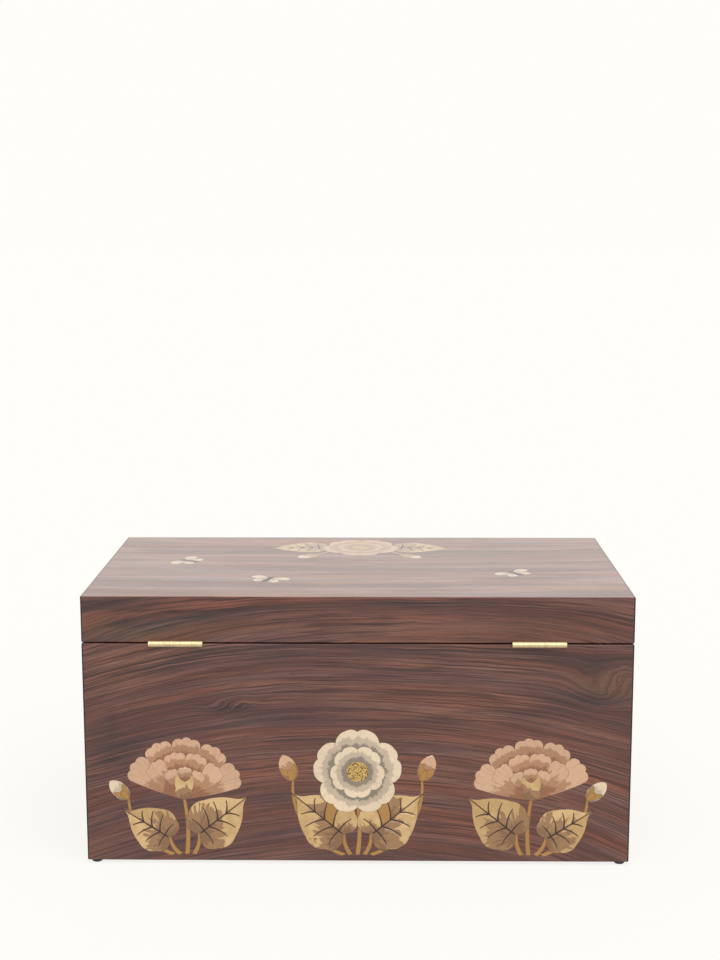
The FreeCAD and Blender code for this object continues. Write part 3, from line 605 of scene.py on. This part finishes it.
def own_mesh(mesh, part):
    """A copy of one piece as a mesh of its own"""
    mesh.verts.index_update()
    kept = {vertex.index for vertex in part}
    own = mesh.copy()
    others = [vertex for vertex in own.verts if vertex.index not in kept]
    bmesh.ops.delete(own, geom=others, context="VERTS")
    return own


def cut_into_cells(mesh, directions):
    """Divide a piece by a grid, so that what is written on its vertices follows its outline"""
    for direction in directions:
        reaches = [vertex.co.dot(direction) for vertex in mesh.verts]
        low, reach = min(reaches), max(reaches) - min(reaches)
        count = math.ceil(reach / CELL)
        for step in range(1, count):
            bmesh.ops.bisect_plane(
                mesh, geom=[*mesh.verts, *mesh.edges, *mesh.faces], dist=MERGE / 10,
                plane_co=direction * (low + reach * step / count), plane_no=direction)


def inlay_piece(name, wood, rng, vein_tree):
    """The pieces of one wood in one face, each marked with its own grain, rim and root"""
    node = f"{name}_inlay_{wood}"
    right, up, outward = FACES[name][:3]
    mesh = merged(node)
    outlines = outline_tree(mesh, outward)
    flowers, leaves = roots_of(name, "flower"), roots_of(name, "leaf")
    together = bmesh.new()
    one = bpy.data.meshes.new("one_veneer")
    for part in loose_parts(mesh):
        growth = growth_of(top_face(part, outward), wood == "foliage", outward, flowers, leaves)
        tone = rng.random()
        distances = [math.hypot(*from_root(vertex, growth)) for vertex in part]
        near, far = min(distances), max(distances)
        own = own_mesh(mesh, part)
        cut_into_cells(own, (right, up))
        layers = [own.verts.layers.float.new(mark) for mark in MARKS]
        grain = own.loops.layers.uv.new("grain")
        for vertex in own.verts:
            distance = math.hypot(*from_root(vertex, growth))
            marks = (min(1.0, outlines.find(vertex.co)[2] / RIM_REACH),
                     min(1.0, vein_tree.find(vertex.co)[2] / VEIN_REACH),
                     tone, (distance - near) / (far - near), growth.slender, growth.heart)
            for layer, mark in zip(layers, marks):
                vertex[layer] = mark
        for face in own.faces:
            for loop in face.loops:
                loop[grain].uv = from_root(loop.vert, growth)
        own.to_mesh(one)
        own.free()
        together.from_mesh(one)
    bpy.data.meshes.remove(one)
    mesh.free()
    made = bpy.data.meshes.new(f"{node}_veneers")
    together.to_mesh(made)
    together.free()
    piece = bpy.data.objects.new(f"{node}_veneers", made)
    bpy.context.scene.collection.objects.link(piece)
    return piece


# How many seeds of noise the tones of the pieces are spread over
SEEDS = 40.0
# How far from its root a petal turns from dark to middle and from middle to light
TONE_LEVELS = (0.30, 0.60)
TONE_BLUR = 0.05


def veneer_marks(start):
    """The way along a piece and across it, the angle round its root, and its vertices' marks"""
    grain = start.node("ShaderNodeUVMap", {"uv_map": "grain"}, {})
    along, side = start.node("ShaderNodeSeparateXYZ", {}, {0: grain}, (0, 1))
    marks = {mark: start.node("ShaderNodeAttribute", {"attribute_name": mark}, {}, "Fac")
             for mark in MARKS}
    return along, side, side.maths("ARCTAN2", side, along), marks


def finish_veneer(shader, colour, fibres, fade, look):
    """Pale a veneer's colour by a share towards a painted sheen; link it with its gloss and fibres
    """
    if fade:
        colour = mixed(fade, colour, look.sheen_light)
    connect(shader, base_color=colour, roughness=0.44 + fibres * 0.05,
            normal=bump(fibres, 0.00005))


def veneer(name, tones, look, fade):
    """Shaded veneer: tones are the light, middle and dark of a piece, from its tip to its root"""
    light, middle, dark = tones
    material, start, shader = new_finish(name, coat_weight=look.wood_shine, **LACQUER)
    along, side, angle, marks = veneer_marks(start)
    seed = marks["tone"] * SEEDS
    rays = noise((angle, marks["root"], seed), (8.0, 1.2, 1.0), 3.0, 0.6)
    streaks = noise((angle, marks["root"], seed), (34.0, 1.5, 1.0))
    clouds = noise((along, side, seed), (110.0, 110.0, 1.0))
    fibres = noise((along, side, seed), (60.0, 1500.0, 1.0), 2.0, 0.6)
    height = marks["root"] + rays * 0.22 + streaks * 0.10 + clouds * 0.14
    low, high = ((level - TONE_BLUR, level + TONE_BLUR) for level in TONE_LEVELS)
    colour = height.rise(*high).mix(middle, light)
    colour = (streaks.rise(0.05, 0.45) * 0.60).mix(colour, middle)
    colour = height.rise(*low).mix(dark, colour)
    edge = (1.0 - marks["rim"].rise(0.05, 0.13)) * marks["root"].rise(0.30, 0.55)
    colour = (edge * 0.7).mix(colour, light)
    colour = ((1.0 - marks["rim"].rise(0.01, 0.05)) * 0.55).mix(colour, dark)
    share = 0.90 + marks["tone"] * 0.14 + fibres * 0.10 + streaks * 0.08 + clouds * 0.06
    finish_veneer(shader, share.dim(colour), fibres, fade, look)
    return material


def foliage_veneer(name, look, fade):
    """Golden leaves with brown patches round their root, amber stems and stippled flower hearts"""
    material, start, shader = new_finish(name, coat_weight=look.wood_shine, **LACQUER)
    along, side, angle, marks = veneer_marks(start)
    seed = marks["tone"] * SEEDS
    jags = noise((angle, marks["root"], seed), (9.0, 1.6, 1.0), 1.5)
    clouds = noise((along, side, seed), (60.0, 60.0, 1.0), 1.0)
    fibres = noise((along, side, seed), (60.0, 1300.0, 1.0), 2.0, 0.6)
    grains = noise((along, side, seed), (420.0, 420.0, 1.0), 1.0)
    colour = (clouds + marks["tone"] - 0.5).rise(-0.5, 0.6).mix(look.leaf_gold, look.leaf_light)
    reach = marks["root"] + jags * 0.30 + clouds * 0.22
    colour = (1.0 - reach.rise(0.42, 0.45)).mix(colour, look.leaf_brown)
    colour = ((1.0 - reach.rise(0.18, 0.21)) * 0.6).mix(colour, look.leaf_dark)
    colour = ((1.0 - marks["vein"].rise(0.04, 0.13)) * 0.35).mix(colour, look.leaf_brown)
    heart = (grains.rise(0.02, 0.12) * 0.8).mix(look.heart, look.vein)
    colour = marks["heart"].mix(colour, heart)
    colour = marks["slender"].mix(colour, look.stem)
    colour = ((1.0 - marks["rim"].rise(0.02, 0.07)) * 0.5).mix(colour, look.leaf_dark)
    share = 0.92 + marks["tone"] * 0.12 + fibres * 0.12
    finish_veneer(shader, share.dim(colour), fibres, fade, look)
    return material


def dark_veneer(name, look):
    """Dark brown veins and bodies"""
    material, start, shader = new_finish(name, coat_weight=look.wood_shine, **LACQUER)
    fibres = noise(object_place(start), (500.0, 500.0, 900.0), 2.0, 0.6)
    colour = (fibres * 0.3 + 1.0).dim(look.vein)
    connect(shader, base_color=colour, roughness=0.44 + fibres * 0.06)
    return material


# Metal, plastic and rubber

def metal(name, colour, tarnish, roughness):
    """Metal brushed along X, a little duller in places"""
    material, start, shader = new_finish(name, metallic=1.0)
    parts = object_place(start)
    strokes = noise(parts, (40.0, 1800.0, 1800.0), 2.0, 0.6)
    clouds = noise(parts, (120.0, 120.0, 120.0))
    shade = (clouds + strokes * 0.5).rise(-0.3, 0.7).mix(colour, tarnish)
    connect(shader, base_color=shade, roughness=roughness + strokes * 0.08 + clouds * 0.05,
            normal=bump(strokes, 0.00002))
    return material


def moulded(name, colour, roughness):
    """Plastic or rubber with a fine moulded skin"""
    material, start, shader = new_finish(name, specular_ior_level=0.4)
    parts = object_place(start)
    skin = noise(parts, (1500.0, 1500.0, 1500.0))
    dust = noise(parts, (130.0, 130.0, 130.0), 3.0)
    dusty = [channel * 1.9 + 0.004 for channel in colour]
    connect(shader, base_color=dust.rise(-0.2, 0.9).mix(colour, dusty),
            roughness=roughness + dust * 0.08, normal=bump(skin, 0.00003))
    return material


# Properties

def colour_property(name, description, default):
    """A colour that a user may change"""
    return FloatVectorProperty(name=name, description=description, default=default, size=3,
                               subtype="COLOR", min=0.0, max=1.0)


def factor_property(name, description, default):
    """What the channels of a colour are multiplied by"""
    return FloatVectorProperty(name=name, description=description, default=default, size=3,
                               min=0.0, max=2.0)


def share_property(name, description, default):
    """A share from nothing to all"""
    return FloatProperty(name=name, description=description, default=default, min=0.0, max=1.0,
                         subtype="FACTOR")


class TrunkWoodSettings(PropertyGroup):
    red_brown: colour_property("Red-brown", "Warm ground of the rosewood", (0.122, 0.0450, 0.0330))
    umber: colour_property("Umber", "Dark bands of the rosewood", (0.051, 0.0190, 0.0168))
    amber: colour_property("Amber", "Light streaks of the rosewood", (0.160, 0.064, 0.036))
    olive: colour_property("Olive", "Swirled grain round a knot", (0.105, 0.052, 0.026))
    # Also the colour of the painted shade along each mitred corner
    grain_line_and_shade: colour_property("Grain line", "Fine dark lines of the grain",
                                (0.012, 0.0035, 0.004))
    grain_light: colour_property("Grain light", "Fine light lines of the grain",
                                 (0.185, 0.081, 0.060))
    smudge: colour_property("Smudge", "Dark clouds in the figure", (0.022, 0.012, 0.012))
    warm: factor_property("Warm", "What the warm streaks multiply the wood's colour by",
                          (1.11, 0.87, 0.69))
    cool: factor_property("Cool", "What the cool streaks multiply the wood's colour by",
                          (0.92, 1.12, 1.26))
    # Painted sheen: the light and the dark streaks that stand for the grazing reflection on the lid
    # top
    sheen_light: colour_property("Faded", "Light streaks of the paled lid", (0.322, 0.212, 0.182))
    sheen_dark: colour_property("Faded, dark", "Dark streaks of the paled lid",
                                (0.166, 0.101, 0.087))
    wood_shine: share_property("Shine", "How strongly the lacquer reflects", 0.9)
    plywood: colour_property("Plywood", "Face veneer of the bottom panel", (0.46, 0.30, 0.17))
    plywood_grain: colour_property("Plywood grain", "Darker figure of the bottom panel",
                                   (0.34, 0.20, 0.10))


class TrunkInlaySettings(PropertyGroup):
    cream: colour_property("Cream", "Tip of the cream petals", (0.550, 0.440, 0.312))
    cream_middle: colour_property("Cream, middle", "Middle of the cream petals",
                                  (0.372, 0.296, 0.218))
    cream_dark: colour_property("Cream, dark", "Root of the cream petals", (0.182, 0.146, 0.112))
    pink: colour_property("Pink", "Tip of the pink petals", (0.437, 0.270, 0.169))
    pink_middle: colour_property("Pink, middle", "Middle of the pink petals",
                                 (0.287, 0.148, 0.081))
    pink_dark: colour_property("Pink, dark", "Root of the pink petals", (0.205, 0.085, 0.041))
    leaf_gold: colour_property("Leaf gold", "Ground of the leaves", (0.362, 0.226, 0.094))
    leaf_light: colour_property("Leaf light", "Paler clouds in the leaves", (0.445, 0.300, 0.142))
    leaf_brown: colour_property("Leaf brown", "Patches between the veins", (0.222, 0.122, 0.055))
    leaf_dark: colour_property("Leaf dark", "Deep patches and the outline", (0.120, 0.057, 0.027))
    stem: colour_property("Stem", "Stems and sepals", (0.275, 0.140, 0.034))
    heart: colour_property("Heart", "Ground of a flower's heart", (0.430, 0.270, 0.075))
    vein: colour_property("Vein", "Veins and bodies", (0.024, 0.009, 0.006))
    # Painted sheen on the lid's inlay, for the grazing reflection on the lid's lacquer: its colour
    # and how far
    sheen_light: colour_property("Faded", "What the lid's inlay has paled towards",
                           (0.400, 0.320, 0.260))
    lid_painted_sheen: share_property("Lid fade", "How far the lid's inlay has paled", 0.45)
    wood_shine: share_property("Shine", "How strongly the lacquer reflects", 0.9)


class TrunkHardwareSettings(PropertyGroup):
    brass: colour_property("Brass", "Clean brass", (0.590, 0.485, 0.300))
    tarnish: colour_property("Tarnish", "Duller brass", (0.470, 0.365, 0.200))
    steel: colour_property("Steel", "Hinge pins and screws", (0.60, 0.60, 0.61))
    plastic: colour_property("Plastic", "The glides", (0.012, 0.012, 0.012))
    rubber: colour_property("Rubber", "The buffers on the rim", (0.020, 0.019, 0.018))


class TrunkStageSettings(PropertyGroup):
    floor: colour_property("Floor", "Colour of the floor", (0.090, 0.089, 0.087))
    floor_light: FloatProperty(name="Floor light", default=0.843, min=0.0,
                               description="How strongly the light table under the trunk glows")
    background: colour_property("Background", "Colour of the room", (1.0, 0.985, 0.94))
    room_light: FloatProperty(name="Room light", description="Strength of the even light",
                              default=1.0, min=0.0)
    sun_light: FloatProperty(name="Key light", description="Strength of the soft key light",
                             default=3.0, min=0.0)
    lens: FloatProperty(name="Lens", description="Focal length of the camera", default=57.85,
                        min=1.0, unit="CAMERA")


SETTINGS = {"trunk_wood": TrunkWoodSettings, "trunk_inlay": TrunkInlaySettings,
            "trunk_hardware": TrunkHardwareSettings, "trunk_stage": TrunkStageSettings}


def dress(node, material):
    """Give a CAD node one finish all over"""
    slots = frame["nodes"][node].material_slots
    if not slots:
        raise RuntimeError(f"{node} has no material slot")
    for slot in slots:
        slot.link = "OBJECT"
        slot.material = material


# Operators

class TRUNK_OT_boards(Operator):
    """Give every board of the case and the lid its own rosewood"""
    bl_idname = "trunk.boards"
    bl_label = "Boards"

    def execute(self, context):
        look = context.scene.trunk_wood
        for node, board in BOARDS.items():
            dress(node, rosewood(node, board, look))
        return {"FINISHED"}


class TRUNK_OT_inner_wood(Operator):
    """Finish the bottom panel, the glue blocks and the splines"""
    bl_idname = "trunk.inner_wood"
    bl_label = "Bottom, blocks and splines"

    def execute(self, context):
        look = context.scene.trunk_wood
        colours = (look.plywood, look.plywood_grain)
        dress("bottom_panel", plain_wood("plywood_face", colours, "xyz", 1.0))
        block_wood = plain_wood("secondary_wood", colours, "xzy", 2.0)
        for node in ("corner_blocks", "carcase_corner_splines", "lid_corner_splines"):
            dress(node, block_wood)
        return {"FINISHED"}


class TRUNK_OT_inlay(Operator):
    """Lay the flowers, leaves and butterflies into the faces"""
    bl_idname = "trunk.inlay"
    bl_label = "Inlay"

    def execute(self, context):
        look = context.scene.trunk_inlay
        cream = (look.cream, look.cream_middle, look.cream_dark)
        pink = (look.pink, look.pink_middle, look.pink_dark)
        # The lid's veneers are paled by the painted sheen; the case's are not
        materials = {
            place: {
                "cream": veneer(f"cream_{place}", cream, look, fade),
                "pink": veneer(f"pink_{place}", pink, look, fade),
                "foliage": foliage_veneer(f"foliage_{place}", look, fade),
                "dark": dark_veneer(f"dark_{place}", look),
            } for place, fade in (("case_veneer", 0.0), ("lid_veneer", look.lid_painted_sheen))}
        rng = random.Random(7)
        for face in FACES:
            dark = merged(f"{face}_inlay_dark")
            vein_tree = outline_tree(dark, FACES[face].outward)
            dark.free()
            place = "lid_veneer" if face == "lid" else "case_veneer"
            for wood, material in materials[place].items():
                node = f"{face}_inlay_{wood}"
                if wood == "dark":
                    dress(node, material)
                    continue
                piece = inlay_piece(face, wood, rng, vein_tree)
                piece.data.materials.append(material)
                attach(piece, BODIES[node])
                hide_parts(node)
        return {"FINISHED"}


class TRUNK_OT_hardware(Operator):
    """Finish the hinges, the lid stays, the screws, the glides and the buffers"""
    bl_idname = "trunk.hardware"
    bl_label = "Hardware"

    def execute(self, context):
        look = context.scene.trunk_hardware
        dull_steel = [channel * 0.8 for channel in look.steel]
        materials = {
            "hinge_brass": metal("hinge_brass", look.brass, look.tarnish, 0.55),
            "stay_brass": metal("stay_brass", look.brass, look.tarnish, 0.34),
            "brass_screws": metal("brass_screws", look.brass, look.tarnish, 0.30),
            "steel": metal("steel", look.steel, dull_steel, 0.30),
            "black_plastic": moulded("black_plastic", look.plastic, 0.42),
            "rubber": moulded("rubber", look.rubber, 0.70),
        }
        for node, slot in SLOTS.items():
            if slot in materials:
                dress(node, materials[slot])
        return {"FINISHED"}


# The stage: half the floor's side, where the key light comes from and how wide it is, and the
# camera's place, the way it looks, its roll, its sensor's height and how far it sees
FLOOR_SIZE = 60.0
KEY_FROM = Vector((-0.25, 0.85, 1.20))
KEY_WIDTH = math.radians(70)
CAMERA_PLACE = (-0.0397, 2.7118, 1.0610)
CAMERA_WAY = Vector((0.01392, -0.98688, -0.16085))
CAMERA_ROLL = -0.00119
SENSOR_HEIGHT = 36.0
VIEW_END = 200.0


class TRUNK_OT_stage(Operator):
    """Set the floor, the light and the camera"""
    bl_idname = "trunk.stage"
    bl_label = "Stage"

    def execute(self, context):
        scene, look = context.scene, context.scene.trunk_stage
        scene.view_settings.view_transform = "Standard"
        mesh = bmesh.new()
        bmesh.ops.create_grid(mesh, x_segments=1, y_segments=1, size=FLOOR_SIZE)
        floor_mesh = bpy.data.meshes.new("floor")
        mesh.to_mesh(floor_mesh)
        mesh.free()
        floor = bpy.data.objects.new("floor", floor_mesh)
        scene.collection.objects.link(floor)
        paper = new_finish("floor_paper", roughness=0.9, specular_ior_level=0.0,
                           base_color=paint(look.floor), emission_color=paint(look.background),
                           emission_strength=look.floor_light)[0]
        floor_mesh.materials.append(paper)

        world = bpy.data.worlds.new("room")
        world.use_nodes = True
        background = next(node for node in world.node_tree.nodes if node.type == "BACKGROUND")
        background.inputs["Color"].default_value = paint(look.background)
        background.inputs["Strength"].default_value = look.room_light
        scene.world = world

        sun = bpy.data.lights.new("key_light", "SUN")
        sun.energy = look.sun_light
        sun.angle = KEY_WIDTH
        key = bpy.data.objects.new("key_light", sun)
        key.rotation_mode = "QUATERNION"
        key.rotation_quaternion = KEY_FROM.to_track_quat("Z", "Y")
        scene.collection.objects.link(key)

        lens = bpy.data.cameras.new("camera")
        lens.lens = look.lens
        lens.sensor_fit = "VERTICAL"
        lens.sensor_height = SENSOR_HEIGHT
        lens.clip_end = VIEW_END
        camera = bpy.data.objects.new("camera", lens)
        camera.location = CAMERA_PLACE
        camera.rotation_mode = "QUATERNION"
        roll = Quaternion((0, 0, 1), CAMERA_ROLL)
        camera.rotation_quaternion = (-CAMERA_WAY).to_track_quat("Z", "Y") @ roll
        scene.collection.objects.link(camera)
        scene.camera = camera
        return {"FINISHED"}


OPERATORS = (TRUNK_OT_boards, TRUNK_OT_inner_wood, TRUNK_OT_inlay, TRUNK_OT_hardware,
             TRUNK_OT_stage)


class TRUNK_PT_panel(Panel):
    """The pieces of the trunk and the looks that can be changed"""
    bl_idname = "TRUNK_PT_panel"
    bl_label = "Trunk"
    bl_space_type = "VIEW_3D"
    bl_region_type = "UI"
    bl_category = "Trunk"

    def draw(self, context):
        for operator in OPERATORS:
            self.layout.operator(operator.bl_idname)
        for name, group in SETTINGS.items():
            box = self.layout.box()
            for key in group.__annotations__:
                box.prop(getattr(context.scene, name), key)


def register():
    """Add the settings, the operators and the panel to Blender"""
    for group in SETTINGS.values():
        bpy.utils.register_class(group)
    for name, group in SETTINGS.items():
        setattr(bpy.types.Scene, name, PointerProperty(type=group))
    for cls in (*OPERATORS, TRUNK_PT_panel):
        bpy.utils.register_class(cls)


def unregister():
    """Take them out again"""
    for cls in (TRUNK_PT_panel, *reversed(OPERATORS)):
        bpy.utils.unregister_class(cls)
    for name, group in SETTINGS.items():
        delattr(bpy.types.Scene, name)
        bpy.utils.unregister_class(group)


def main():
    register()
    bpy.ops.trunk.boards()
    bpy.ops.trunk.inner_wood()
    bpy.ops.trunk.inlay()
    bpy.ops.trunk.hardware()
    bpy.ops.trunk.stage()


if __name__ == "__main__":
    main()
